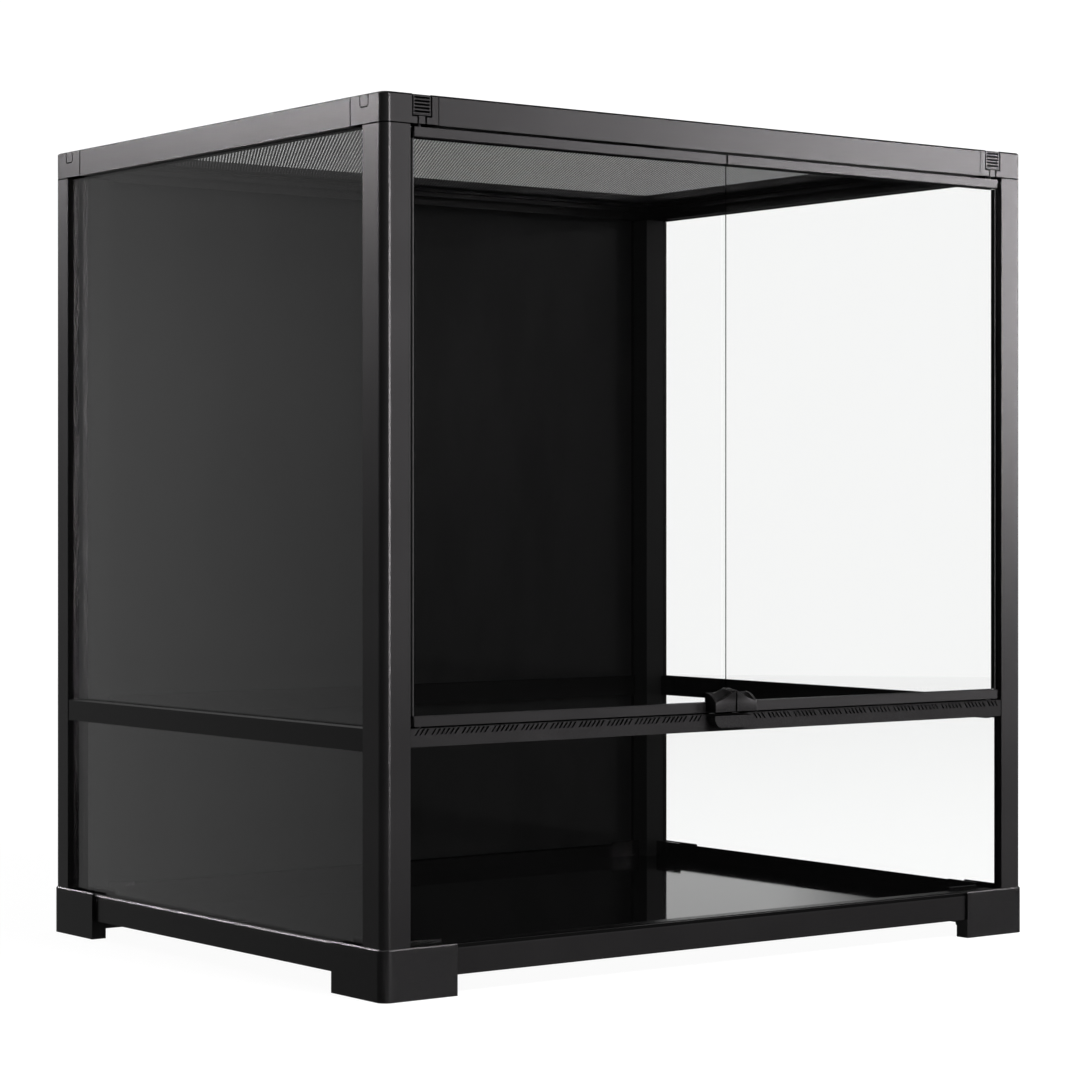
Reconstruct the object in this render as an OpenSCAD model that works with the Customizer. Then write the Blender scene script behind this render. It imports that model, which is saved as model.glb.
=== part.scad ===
// Front-opening reptile terrarium: a knock-down frame with glass sides, two swinging glass doors
// on release keys, a vented front rail, a solid back and a lift-off perforated top.
// X is the width, the doors face -Y, and the feet stand on Z = 0.

/* [Cabinet] */
// Width across the outer faces of the corner posts
cabinet_w = 603; // [480:1:800]
// Depth across the outer faces of the corner posts
cabinet_d = 460; // [360:1:600]
// Height from the ground to the top of the frame
cabinet_h = 610; // [460:1:800]
// Radius of the cabinet's vertical corners
corner_r = 6; // [3:0.5:8]

/* [Posts] */
// Width of a post seen from the front or the rear
post_w = 22; // [20:0.5:26]
// Width of a front post seen from the side
front_post_d = 25; // [22:0.5:30]
// Width of a rear post seen from the side
rear_post_d = 20.7; // [18:0.1:24]
// How far the inner corner of a rear post reaches in from the side face
rear_core_w = 31; // [29:0.5:36]
// How far the inner corner of a rear post reaches in from the rear face
rear_core_d = 31; // [28:0.5:34]

/* [Glazing] */
// Thickness of the fixed glass and of the back panels
glass_t = 4; // [3:0.5:5]
// Depth of the glass behind the outer face of the frame
glass_inset = 5; // [4:0.5:6]
// Play on each side of a pane in its groove
glass_play = 0.1; // [0.05:0.05:0.3]
// Depth of the grooves that hold the panes
groove_depth = 4; // [3:0.5:5]

/* [Feet and base] */
// Length of a foot's leg along the front or the rear
foot_leg = 60; // [45:1:90]
// Length of a foot's leg along a side
foot_leg_side = 62; // [45:1:90]
// Height of a foot's outer wall
foot_h = 35.4; // [34:0.1:40]
// How far a foot's outer wall stands proud of the post
foot_proud = 1.2; // [0.5:0.1:2]
// Thickness of a foot's legs below the base rails
foot_leg_t = 12; // [9:0.5:16]
// Thickness of a foot's saddle plate under the rails
saddle_t = 3; // [2:0.5:5]
// Thickness of a foot's inner wall
foot_inner_t = 2.4; // [1.6:0.2:4]
// Rise of a foot's inner wall above the base rail
foot_inner_rise = 2.7; // [1:0.1:5]
// Height of the base rails above the ground
base_z = 14; // [10:0.5:20]
// Height of a base rail
base_rail_h = 20.5; // [18:0.5:30]
// Depth of a base rail from its outer face to its inner face
base_rail_d = 16; // [14:0.5:20]
// Setback of a base rail behind the post
base_setback = 1.5; // [1:0.1:2.5]
// Chamfer on a foot's upper outer edge
foot_chamfer = 0.8; // [0.4:0.1:0.9]
// Rounding of a base rail's upper outer edge
base_round = 3; // [1:0.5:3]
// Thickness of the floor panel
floor_t = 3; // [2:0.5:5]
// Height of the floor's upper face above the underside of the base rails
floor_rise = 10; // [8:0.5:14]
// Width of the ledge that carries the floor
floor_ledge = 6; // [4:0.5:10]

/* [Middle rails] */
// Height of the underside of the side and rear rails
mid_z = 166.8; // [120:0.1:220]
// Height of a side or rear rail
mid_rail_h = 16.7; // [14:0.1:22]
// Depth of a middle rail
mid_rail_d = 14; // [12:0.5:18]
// Setback of a middle rail behind the post
mid_setback = 0.5; // [0.2:0.1:1]
// Chamfer on a side rail's upper outer edge
mid_chamfer = 1.2; // [0.4:0.1:2]
// Height of the vented front rail, whose top is level with the side rails less a step
front_rail_h = 12.7; // [11:0.1:18]
// Step of the front rail's top below the side rails' top
front_rail_step = 0.7; // [0:0.1:2]
// Chamfer on the front rail's upper outer edge
front_chamfer = 0.4; // [0.2:0.1:0.6]
// Wall of the vented front rail
vent_wall = 1.6; // [1.2:0.1:2]

/* [Vent slots] */
// Width of a vent slot
slot_w = 1.7; // [1:0.1:2]
// Height of a vent slot
slot_h = 4.1; // [2.5:0.1:4.8]
// Sideways lean of a vent slot
slot_lean = 3.2; // [0:0.1:4]
// Distance between vent slots
slot_pitch = 3.8; // [3:0.1:5]
// Slots in a full group
slots_per_group = 6; // [3:1:9]
// Slots in the short group at each end
slots_at_end = 3; // [1:1:5]
// Extra space between groups
slot_group_gap = 2.3; // [0.5:0.1:5]
// Wall above the vent slots
slot_cover = 0.7; // [0.6:0.1:1.4]

/* [Top frame] */
// Height of the top frame
top_h = 20.2; // [18:0.1:26]
// Depth of the top frame's walls
top_d = 16; // [14:0.5:20]
// Length of a corner block along the front and rear
block_w = 45; // [42:0.5:60]
// Length of a corner block along the sides
block_d = 40; // [32:0.5:60]
// Chamfer on the top frame's upper outer edge
top_chamfer = 1; // [0.5:0.1:1.5]
// Open seam between a corner block and its neighbours
seam = 0.3; // [0.1:0.1:0.5]
// Depth of the ledge under the screen
deck_ledge_d = 8; // [5:0.5:10]
// Thickness of the ledge under the screen
deck_ledge_t = 3.6; // [2:0.2:5]
// Depth of the ledge's upper face below the top of the frame
deck_drop = 10; // [8:0.5:12]
// Width of the snap tab outlined on a corner block
tab_w = 9.5; // [6:0.5:12]
// Height of the snap tab
tab_h = 8.4; // [5:0.1:10]
// Distance of the snap tab's centre from the corner
tab_from_corner = 23.3; // [16:0.1:26]
// Width of the groove round the snap tab
tab_groove = 0.6; // [0.3:0.1:1]

/* [Screen] */
// Width of the screen's frame bars
screen_bar_w = 20.6; // [16:0.2:26]
// Height of the screen's frame bars
screen_bar_h = 9.4; // [8:0.2:11]
// Wall of the folded frame bars
screen_wall = 1.4; // [0.8:0.1:2]
// Thickness of the perforated sheet
screen_sheet_t = 0.8; // [0.5:0.1:1.5]
// Height of the sheet above the underside of its frame bars
screen_sheet_rise = 2.7; // [2:0.1:4]
// Gap between the screen and the top frame
screen_play = 0.4; // [0.2:0.1:1]
// Diameter of the holes in the sheet
hole_dia = 20; // [12:1:22]
// Distance between the holes in the sheet
hole_pitch = 30; // [26:1:50]

/* [Doors] */
// Distance of the doors' outer edges from the side faces
door_side_gap = 25.8; // [24.5:0.1:28]
// Gap between the two doors
door_gap = 1.8; // [1:0.1:4]
// Gap under the doors
door_under_gap = 1; // [0.6:0.1:2]
// Gap over the doors
door_over_gap = 2; // [1:0.1:3]
// Height of a door rail
door_rail_h = 7.2; // [6:0.1:10]
// Depth of a door rail
door_rail_d = 8.4; // [7:0.1:8.8]
// Distance of the hinge axis from the side faces
pivot_from_side = 31.6; // [31:0.1:34]
// Distance of the hinge axis behind the frame's front face
pivot_from_front = 5; // [4.6:0.1:5.6]
// Thickness of the door glass
door_glass_t = 4; // [3:0.5:5]
// Solid web of a door rail beyond the glass
door_rail_web = 3.2; // [2.6:0.1:4]
// Diameter of the hinge pins
pin_dia = 4; // [3:0.1:4.4]
// Radial clearance of a hinge pin in its bore
pin_clearance = 0.05; // [0.02:0.01:0.1]
// Length of a lower hinge pin below the door
lower_pin_drop = 7; // [5:0.5:8]
// Thickness of the strip on a door's hinge edge
edge_strip_t = 0.8; // [0.5:0.1:1.2]

/* [Hinge keys] */
// Width of a key's head
key_w = 14.6; // [12:0.1:16]
// Height of a key's head
key_h = 14.5; // [12:0.1:15]
// Width of a key's stem
key_stem_w = 5.6; // [5.4:0.1:8]
// Thickness of a key's head
key_t = 3.4; // [2.8:0.1:4]
// Side flange that keeps the key in its pocket
key_flange = 1; // [0.6:0.1:1.5]
// Play round the key
key_play = 0.45; // [0.1:0.05:0.5]
// Number of grip grooves on a key
key_grooves = 5; // [3:1:6]
// Distance between grip grooves
key_groove_pitch = 2.35; // [1.8:0.05:2.4]
// Height of a grip groove
key_groove_h = 1.2; // [0.6:0.1:1.4]
// Depth of a grip groove
key_groove_t = 1; // [0.5:0.1:1.3]
// How far a key's pin reaches into the door
key_pin_reach = 2.8; // [2:0.1:3]

/* [Handles] */
// Width of a handle
handle_w = 19.2; // [14:0.2:26]
// Projection of a handle in front of the frame
handle_proj = 9.5; // [6:0.5:14]
// Height of a handle at its outer end
handle_end_h = 7.5; // [5:0.5:10]
// Height of a handle at the door gap
handle_peak_h = 15.5; // [12:0.5:20]
// Gap under a handle, measured from the underside of the door
handle_lift = 1.8; // [0.5:0.1:4]
// Width of the latch plate
plate_w = 37; // [30:1:50]
// Height of the latch plate
plate_h = 8.7; // [6:0.1:10]
// Projection of the latch plate
plate_proj = 7.5; // [4:0.5:12]
// Radius of the latch plate's lower corners
plate_r = 7; // [3:0.5:8]
// Distance of the catch magnets from the middle
magnet_offset = 11; // [8:0.5:20]
// Diameter of a catch magnet
magnet_dia = 6; // [4:0.5:6]
// Thickness of a catch magnet
magnet_t = 3; // [2:0.5:4]

/* [Fasteners] */
// Distance of the foot screws and block pegs from both outer faces
peg_inset = 7; // [6.5:0.1:8]
// Diameter of a foot screw's shank
screw_dia = 3.5; // [2.5:0.1:4]
// Diameter of a foot screw's head
screw_head_dia = 8; // [6:0.5:9]
// Thickness of a foot screw's head
screw_head_h = 3; // [2:0.5:4]
// Length of a foot screw in the post
screw_grip = 14; // [8:1:30]
// Diameter of the peg between a block and its post
peg_dia = 5; // [3:0.5:5]
// Length of the peg
peg_len = 12; // [6:1:20]

/* [Hidden] */
$fn = 48;

frame_black = [0.13, 0.125, 0.13];
rail_black = [0.16, 0.155, 0.16];
foot_black = [0.1, 0.1, 0.1];
panel_black = [0.05, 0.05, 0.055];
clear_glass = [0.75, 0.85, 0.85, 0.3];
steel = [0.7, 0.7, 0.72];

eps = 0.01;
hx = cabinet_w / 2;
hy = cabinet_d / 2;
left = -1;
right = 1;
front = -1;
rear = 1;

groove_lo = glass_inset - glass_play;
groove_hi = glass_inset + glass_t + glass_play;
glass_grip = groove_depth - 0.5;

base_top = base_z + base_rail_h;
floor_top = base_z + floor_rise;
mid_top = mid_z + mid_rail_h;
front_rail_top = mid_top - front_rail_step;
front_rail_z = front_rail_top - front_rail_h;
top_z = cabinet_h - top_h;
deck_z = cabinet_h - deck_drop;

front_core_w = 11;
front_core_d = 18;
front_core_w2 = 16;
rear_groove_from = 15;
front_groove_from = 12;
foot_inner_from = base_setback + base_rail_d + glass_play;
foot_inner_to = foot_inner_from + foot_inner_t;
floor_inset = foot_inner_to + 0.2;

door_z = front_rail_top + door_under_gap;
door_top = top_z - door_over_gap;
door_hinge_x = hx - door_side_gap;
pivot_x = hx - pivot_from_side;
pivot_y = -hy + pivot_from_front;
bore_r = pin_dia / 2 + pin_clearance;
door_front = pivot_from_front - door_rail_d / 2;
handle_z = door_z + handle_lift;
key_head_z = cabinet_h - key_h;
boss_w = 24;

// Puts a corner drawn at the front left onto the corner on the named side.
module at_corner(side, end) {
  translate([side * hx, end * hy, 0])
    mirror([side > 0 ? 1 : 0, 0, 0]) mirror([0, end > 0 ? 1 : 0, 0]) children();
}

// Puts what is drawn from a side's outer face inwards onto the named side.
module at_side(side) {
  translate([side * hx, 0, 0]) mirror([side > 0 ? 1 : 0, 0, 0]) children();
}

// Puts what is drawn from the front's outer face inwards onto the front or the rear.
module at_end(end) {
  translate([0, end * hy, 0]) mirror([0, end > 0 ? 1 : 0, 0]) children();
}

// Draws for the left half and mirrors it for the right.
module on_side(side) {
  mirror([side > 0 ? 1 : 0, 0, 0]) children();
}

// Extrudes a profile of depth and height along X.
module along_x(x_from, x_to) {
  translate([x_from, 0, 0]) rotate([90, 0, 90]) linear_extrude(x_to - x_from) children();
}

// Extrudes a profile of depth and height along Y.
module along_y(y_from, y_to) {
  translate([0, y_to, 0]) rotate([90, 0, 0]) linear_extrude(y_to - y_from) children();
}

// Sets the origin on the ground under the middle of the overall size, handles included.
module centred() {
  translate([0, (handle_proj - foot_proud) / 2, 0]) children();
}

module box(low, high) {
  translate(low) cube(high - low);
}

module rect(low, high) {
  translate(low) square(high - low);
}

// What a rounded outer corner takes off a plan whose corner is at the origin.
module corner_cut(r, proud = 0) {
  translate([-proud, -proud]) difference() {
    translate([-1, -1]) square(r + 1);
    translate([r, r]) circle(r);
    rect([r, -1.1], [r + 2, r + 2]);
    rect([-1.1, r], [r + 2, r + 2]);
  }
}

// What a chamfer takes off an outer face's upper edge, as a profile of depth and height.
module chamfer_profile(face, top, c) {
  polygon([[face - 1, top + 1], [face - 1, top - c - 1], [face + c + 1, top + 1]]);
}

// What a chamfer takes off the upper edge of a corner whose outer faces stand proud of the post.
module corner_chamfer(top, c, reach, proud = 0) {
  r = corner_r + proud;
  along_x(r - proud, reach) chamfer_profile(-proud, top, c);
  along_y(r - proud, reach) chamfer_profile(-proud, top, c);
  intersection() {
    translate([r - proud, r - proud, 0]) rotate_extrude()
      polygon([[r + 1, top + 1], [r + 1, top - c - 1], [r - c - 1, top + 1]]);
    box([-proud - 2, -proud - 2, top - c - 2], [r - proud, r - proud, top + 2]);
  }
}

module front_post_plan() {
  difference() {
    union() {
      rect([0, 0], [post_w, glass_inset]);
      rect([0, 0], [glass_inset, front_post_d]);
      rect([0, 0], [front_core_w, front_core_d]);
      rect([0, 0], [front_core_w2, front_core_w]);
    }
    corner_cut(corner_r);
    rect([groove_lo, front_groove_from], [groove_hi, front_post_d + 1]);
    rect([front_groove_from, groove_lo], [post_w + 1, groove_hi]);
  }
}

module rear_post_plan() {
  difference() {
    union() {
      rect([0, 0], [post_w, rear_post_d]);
      rect([groove_hi, groove_hi], [rear_core_w, rear_core_d]);
    }
    corner_cut(corner_r);
    rect([groove_lo, rear_groove_from], [groove_hi, rear_core_d + 1]);
    rect([rear_groove_from, groove_lo], [rear_core_w + 1, groove_hi]);
  }
}

// What the shadow line round a post's top takes off its outer faces.
module seam_plan(t) {
  difference() {
    rect([-1, -1], [rear_core_w + 2, rear_core_d + 2]);
    rect([corner_r, t], [rear_core_w + 3, rear_core_d + 3]);
    rect([t, corner_r], [rear_core_w + 3, rear_core_d + 3]);
    translate([corner_r, corner_r]) circle(corner_r - t);
  }
}

module post(side, end) {
  color(frame_black) at_corner(side, end) difference() {
    translate([0, 0, base_z]) linear_extrude(top_z - base_z)
      if (end < 0) front_post_plan(); else rear_post_plan();
    translate([peg_inset, peg_inset, top_z - peg_len - 1]) cylinder(h = peg_len + 2, r = peg_dia / 2 + 0.1);
    translate([peg_inset, peg_inset, base_z - 1]) cylinder(h = screw_grip + 2, r = screw_dia / 2);
    translate([0, 0, top_z - seam]) linear_extrude(seam + 1) seam_plan(1);
  }
}

// Plan of two legs of width t, drawn from the outer faces of a foot.
module foot_legs_plan(from, t) {
  rect([from, from], [foot_leg, t]);
  rect([from, from], [t, foot_leg_side]);
}

module foot(side, end) {
  post_reach = end < 0 ? front_post_d : rear_core_d;
  color(foot_black) at_corner(side, end) difference() {
    union() {
      linear_extrude(base_z) difference() {
        union() {
          foot_legs_plan(-foot_proud, foot_leg_t - foot_proud);
          rect([-foot_proud, -foot_proud], [post_w, rear_post_d]);
        }
        corner_cut(corner_r + foot_proud, foot_proud);
      }
      translate([0, 0, base_z - saddle_t]) linear_extrude(saddle_t) difference() {
        foot_legs_plan(-foot_proud, foot_inner_to);
        corner_cut(corner_r + foot_proud, foot_proud);
      }
      translate([0, 0, base_z - eps]) linear_extrude(foot_h - base_z + eps) difference() {
        foot_legs_plan(-foot_proud, base_setback - glass_play);
        corner_cut(corner_r + foot_proud, foot_proud);
        difference() {
          rect([0, 0], [post_w + glass_play, post_reach + glass_play]);
          corner_cut(corner_r);
        }
      }
      translate([0, 0, base_z - eps]) linear_extrude(base_rail_h + foot_inner_rise) {
        rect([rear_core_w + glass_play, foot_inner_from], [foot_leg, foot_inner_to]);
        rect([foot_inner_from, rear_core_d + glass_play], [foot_inner_to, foot_leg_side]);
      }
    }
    corner_chamfer(foot_h, foot_chamfer, max(foot_leg, foot_leg_side) + 1, foot_proud);
    translate([peg_inset, peg_inset, -1]) cylinder(h = base_z + 2, r = screw_dia / 2 + 0.2);
    translate([peg_inset, peg_inset, -1]) cylinder(h = screw_head_h + 1.6, r = screw_head_dia / 2 + 0.2);
  }
}

module foot_screws() {
  color(steel) for (side = [left, right], end = [front, rear])
    at_corner(side, end) translate([peg_inset, peg_inset, 0.6]) {
      difference() {
        cylinder(h = screw_head_h, r = screw_head_dia / 2);
        translate([-screw_head_dia / 2, -0.6, -1]) cube([screw_head_dia, 1.2, 2]);
        rotate([0, 0, 90]) translate([-screw_head_dia / 2, -0.6, -1]) cube([screw_head_dia, 1.2, 2]);
      }
      cylinder(h = base_z + screw_grip, r = screw_dia / 2);
    }
}

// Section of a base rail: outer face on the left, rounded upper outer edge, groove for the glass.
module base_rail_section() {
  outer = base_setback;
  difference() {
    rect([outer, base_z], [outer + base_rail_d, base_top]);
    difference() {
      rect([outer - 1, base_top - base_round], [outer + base_round, base_top + 1]);
      translate([outer + base_round, base_top - base_round]) circle(base_round);
    }
    rect([groove_lo, base_top - groove_depth], [groove_hi, base_top + 1]);
  }
}

// The stretch of a base rail between the feet, with the ledge for the floor.
module base_ledge_section() {
  inner = base_setback + base_rail_d;
  rect([inner - 1, base_z], [foot_inner_to + 0.1, base_top]);
  rect([foot_inner_to, floor_top - floor_t - 3.5], [foot_inner_to + floor_ledge, floor_top - floor_t]);
}

module base_rail_end(end) {
  reach = end < 0 ? hx - post_w : hx - rear_core_w;
  color(foot_black) at_end(end) {
    difference() {
      along_x(-hx + post_w, hx - post_w) base_rail_section();
      if (end > 0) for (side = [left, right]) on_side(side)
        box([-hx, groove_hi - glass_play, base_z - 1], [-reach, base_rail_d + 9, base_top + 1]);
    }
    along_x(-hx + foot_leg + 0.2, hx - foot_leg - 0.2) base_ledge_section();
  }
}

module base_rail_side(side) {
  color(foot_black) at_side(side) {
    difference() {
      along_y(-hy + front_post_d, hy - rear_post_d) base_rail_section();
      box([groove_hi - glass_play, hy - rear_core_d - glass_play, base_z - 1], [base_rail_d + 9, hy, base_top + 1]);
    }
    along_y(-hy + foot_leg_side + 0.2, hy - foot_leg_side - 0.2) base_ledge_section();
  }
}

module floor_panel() {
  color(panel_black) difference() {
    box([-hx + floor_inset, -hy + floor_inset, floor_top - floor_t], [hx - floor_inset, hy - floor_inset, floor_top]);
    for (side = [left, right]) at_corner(side, rear)
      box([-1, -1, floor_top - floor_t - 1], [rear_core_w + 0.3, rear_core_d + 0.3, floor_top + 1]);
  }
}

// Section of a side or rear middle rail with a groove for the glass above and below.
module mid_rail_section() {
  outer = mid_setback;
  difference() {
    polygon([
      [outer, mid_z], [outer + mid_rail_d, mid_z], [outer + mid_rail_d, mid_top],
      [outer + mid_chamfer, mid_top], [outer, mid_top - mid_chamfer]
    ]);
    rect([groove_lo, mid_top - groove_depth], [groove_hi, mid_top + 1]);
    rect([groove_lo, mid_z - 1], [groove_hi, mid_z + groove_depth]);
  }
}

module mid_rail_side(side) {
  color(rail_black) at_side(side) difference() {
    along_y(-hy + front_post_d, hy - rear_post_d) mid_rail_section();
    box([groove_hi - glass_play, hy - rear_core_d - glass_play, mid_z - 1], [mid_rail_d + 9, hy, mid_top + 1]);
  }
}

module mid_rail_rear() {
  color(rail_black) at_end(rear) difference() {
    along_x(-hx + post_w, hx - post_w) mid_rail_section();
    for (side = [left, right]) on_side(side)
      box([-hx, groove_hi - glass_play, mid_z - 1], [-hx + rear_core_w + glass_play, mid_rail_d + 9, mid_top + 1]);
  }
}

// Section of the vented front rail behind its slotted face: top wall, air shelf and glass groove.
module front_rail_section() {
  shelf_top = front_rail_top - slot_cover - slot_h - 0.6;
  rect([mid_setback + vent_wall - eps, front_rail_top - vent_wall], [mid_setback + mid_rail_d, front_rail_top]);
  difference() {
    rect([mid_setback, front_rail_z], [mid_setback + mid_rail_d, shelf_top]);
    rect([groove_lo, front_rail_z - 1], [groove_hi, front_rail_z + groove_depth]);
    rect([groove_hi + 1.8, front_rail_z - 1], [mid_setback + mid_rail_d + 1, shelf_top - vent_wall]);
  }
}

slot_start = hx - post_w - 3.3;
slot_end = plate_w / 2 + 5.5;
slot_group_pitch = slots_per_group * slot_pitch + slot_group_gap;
slot_ends_len = 2 * slots_at_end * slot_pitch + slot_group_gap;
slot_groups = floor((slot_start - slot_end - slot_ends_len) / slot_group_pitch);
slot_places = concat(
  [for (i = [0:slots_at_end - 1]) i * slot_pitch],
  [for (g = [0:slot_groups - 1], i = [0:slots_per_group - 1])
    slots_at_end * slot_pitch + slot_group_gap + g * slot_group_pitch + i * slot_pitch],
  [for (i = [0:slots_at_end - 1])
    slots_at_end * slot_pitch + slot_group_gap + slot_groups * slot_group_pitch + i * slot_pitch]
);

// One half's row of slanted slots, drawn in the plane of the rail's face.
module vent_slots() {
  slot_z = front_rail_top - slot_cover - slot_h;
  for (place = slot_places)
    translate([-slot_start + place, slot_z])
      polygon([[0, 0], [slot_w, 0], [slot_w + slot_lean, slot_h], [slot_lean, slot_h]]);
}

module mid_rail_front() {
  inner = hx - post_w - seam;
  shelf_top = front_rail_top - slot_cover - slot_h - 0.6;
  color(rail_black) at_end(front) difference() {
    union() {
      along_y(mid_setback, mid_setback + vent_wall) difference() {
        rect([-inner, front_rail_z], [inner, front_rail_top]);
        vent_slots();
        mirror([1, 0]) vent_slots();
      }
      along_x(-inner, inner) front_rail_section();
      for (side = [left, right]) on_side(side) {
        box([-inner, mid_setback + vent_wall, shelf_top - eps],
            [-inner + boss_w, mid_setback + mid_rail_d, front_rail_top - vent_wall + eps]);
        box([-magnet_offset - magnet_dia / 2 - 1.5, mid_setback + vent_wall, shelf_top - eps],
            [-magnet_offset + magnet_dia / 2 + 1.5, mid_setback + mid_rail_d, front_rail_top - vent_wall + eps]);
      }
    }
    along_x(-inner - 1, inner + 1) chamfer_profile(mid_setback, front_rail_top, front_chamfer);
    for (side = [left, right]) on_side(side) {
      translate([-pivot_x, pivot_from_front, front_rail_top - lower_pin_drop])
        cylinder(h = lower_pin_drop + 1, r = bore_r);
      translate([-magnet_offset, pivot_from_front, front_rail_top - magnet_t - 0.2])
        cylinder(h = magnet_t + 1, r = magnet_dia / 2 + 0.1);
    }
  }
}

module catch_magnets() {
  color(steel) for (side = [left, right])
    translate([side * magnet_offset, pivot_y, front_rail_top - magnet_t - 0.2])
      cylinder(h = magnet_t, r = magnet_dia / 2);
}

// Plate under the handles, flat above and rounded below.
module latch_plate() {
  plate_top = front_rail_top - vent_wall + 0.4;
  color(foot_black) at_end(front) along_y(-plate_proj, mid_setback) difference() {
    rect([-plate_w / 2, plate_top - plate_h], [plate_w / 2, plate_top]);
    for (side = [left, right]) mirror([side > 0 ? 1 : 0, 0])
      translate([-plate_w / 2, plate_top - plate_h]) corner_cut(plate_r);
  }
}

// Section of a top rail: wall, ledge for the screen and an optional groove for the glass.
module top_rail_section(glazed) {
  difference() {
    union() {
      rect([0, top_z], [top_d, cabinet_h]);
      rect([top_d - eps, deck_z - deck_ledge_t], [top_d + deck_ledge_d, deck_z]);
    }
    if (glazed) rect([groove_lo, top_z - 1], [groove_hi, top_z + groove_depth]);
    chamfer_profile(0, cabinet_h, top_chamfer);
  }
}

module top_rail_end(end) {
  color(frame_black) at_end(end)
    along_x(-hx + block_w + seam, hx - block_w - seam) top_rail_section(end > 0);
}

module top_rail_side(side) {
  color(frame_black) at_side(side)
    along_y(-hy + block_d + seam, hy - block_d - seam) top_rail_section(true);
}

// Groove that outlines a snap tab hanging from the top edge, drawn on the side face.
module tab_outline() {
  module tab_shape(grow) {
    half = tab_w / 2 + grow;
    low = cabinet_h - tab_h - grow;
    r = 2 + grow;
    rect([-half, low + r], [half, cabinet_h + 1]);
    rect([-half + r, low], [half - r, low + r + 1]);
    for (s = [-1, 1]) translate([s * (half - r), low + r]) circle(r);
  }
  difference() {
    tab_shape(tab_groove);
    tab_shape(0);
  }
}

// Pocket for a hinge key: open in front and above, wider behind the lips, with a slot for the stem.
module key_pocket() {
  half = key_w / 2 + key_play;
  stem_half = key_stem_w / 2 + key_play;
  lip = key_t / 2;
  translate([pivot_from_side, 0, 0]) {
    box([-half, -1, key_head_z - key_play], [half, lip + eps, cabinet_h + 1]);
    box([-half - key_flange, lip, key_head_z - key_play], [half + key_flange, key_t + key_play, cabinet_h + 1]);
    box([-stem_half, -1, top_z - 1], [stem_half, key_stem_back + key_play, cabinet_h + 1]);
  }
}

key_stem_back = pivot_from_front + pin_dia / 2 + 0.8;

module block(side, end) {
  color(frame_black) at_corner(side, end) difference() {
    union() {
      translate([0, 0, top_z]) linear_extrude(top_h) difference() {
        union() {
          rect([0, 0], [block_w, top_d]);
          rect([0, 0], [top_d, block_d]);
        }
        corner_cut(corner_r);
      }
      translate([0, 0, deck_z - deck_ledge_t]) linear_extrude(deck_ledge_t) {
        rect([top_d - eps, top_d - eps], [block_w, top_d + deck_ledge_d]);
        rect([top_d - eps, top_d - eps], [top_d + deck_ledge_d, block_d]);
      }
      translate([peg_inset, peg_inset, top_z - peg_len]) cylinder(h = peg_len + 1, r = peg_dia / 2);
    }
    box([groove_lo, front_groove_from, top_z - 1], [groove_hi, block_d + 1, top_z + groove_depth]);
    if (end > 0)
      box([rear_groove_from, groove_lo, top_z - 1], [block_w + 1, groove_hi, top_z + groove_depth]);
    along_y_tab();
    corner_chamfer(cabinet_h, top_chamfer, block_w + 1);
    if (end < 0) key_pocket();
  }
}

// The snap tab's groove cut into the block's side face.
module along_y_tab() {
  translate([-1, tab_from_corner, 0]) rotate([90, 0, 90]) linear_extrude(1 + tab_groove) tab_outline();
}

// A fixed pane on a side, between two heights.
module side_pane(side, z_from, z_to) {
  at_side(side)
    box([glass_inset, -hy + front_groove_from + 1, z_from], [glass_inset + glass_t, hy - rear_groove_from - 1, z_to]);
}

module glass_side_upper(side) {
  color(clear_glass) side_pane(side, mid_top - glass_grip, top_z + glass_grip);
}

module glass_side_lower(side) {
  color(clear_glass) side_pane(side, base_top - glass_grip, mid_z + glass_grip);
}

module glass_front_lower() {
  half = hx - front_groove_from - 1;
  color(clear_glass) at_end(front)
    box([-half, glass_inset, base_top - glass_grip], [half, glass_inset + glass_t, front_rail_z + glass_grip]);
}

module back_panel(z_from, z_to) {
  half = hx - rear_groove_from - 1;
  color(panel_black) at_end(rear) box([-half, glass_inset, z_from], [half, glass_inset + glass_t, z_to]);
}

// Section of a door's bottom rail, with the groove for the glass open upwards.
module door_rail_section() {
  edge = 0.8;
  difference() {
    polygon([
      [door_front, 0], [door_front + door_rail_d, 0], [door_front + door_rail_d, door_rail_h],
      [door_front + edge, door_rail_h], [door_front, door_rail_h - edge]
    ]);
    rect([pivot_from_front - door_glass_t / 2 - glass_play, door_rail_web],
         [pivot_from_front + door_glass_t / 2 + glass_play, door_rail_h + 1]);
  }
}

module door_bottom_rail(side) {
  color(rail_black) on_side(side) translate([0, -hy, door_z]) difference() {
    along_x(-door_hinge_x, -door_gap / 2) door_rail_section();
    translate([-pivot_x, pivot_from_front, -1]) cylinder(h = door_rail_h, r = pin_dia / 2);
    strike_space(0.05);
  }
}

module door_top_rail(side) {
  color(rail_black) on_side(side) translate([0, -hy, door_top]) difference() {
    mirror([0, 0, 1]) along_x(-door_hinge_x, -door_gap / 2) door_rail_section();
    translate([-pivot_x, pivot_from_front, -door_rail_h + 1]) cylinder(h = door_rail_h, r = bore_r);
  }
}

module door_glass(side) {
  color(clear_glass) on_side(side) translate([0, pivot_y - door_glass_t / 2, 0])
    box([-door_hinge_x + edge_strip_t, 0, door_z + door_rail_web + 0.3],
        [-door_gap / 2, door_glass_t, door_top - door_rail_web - 0.3]);
}

// Strip that covers the glass's edge on the hinge side, between the two rails.
module door_edge_strip(side) {
  half = door_glass_t / 2;
  color(panel_black) on_side(side) translate([0, pivot_y, 0])
    box([-door_hinge_x, -half, door_z + door_rail_h], [-door_hinge_x + edge_strip_t, half, door_top - door_rail_h]);
}

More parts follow.
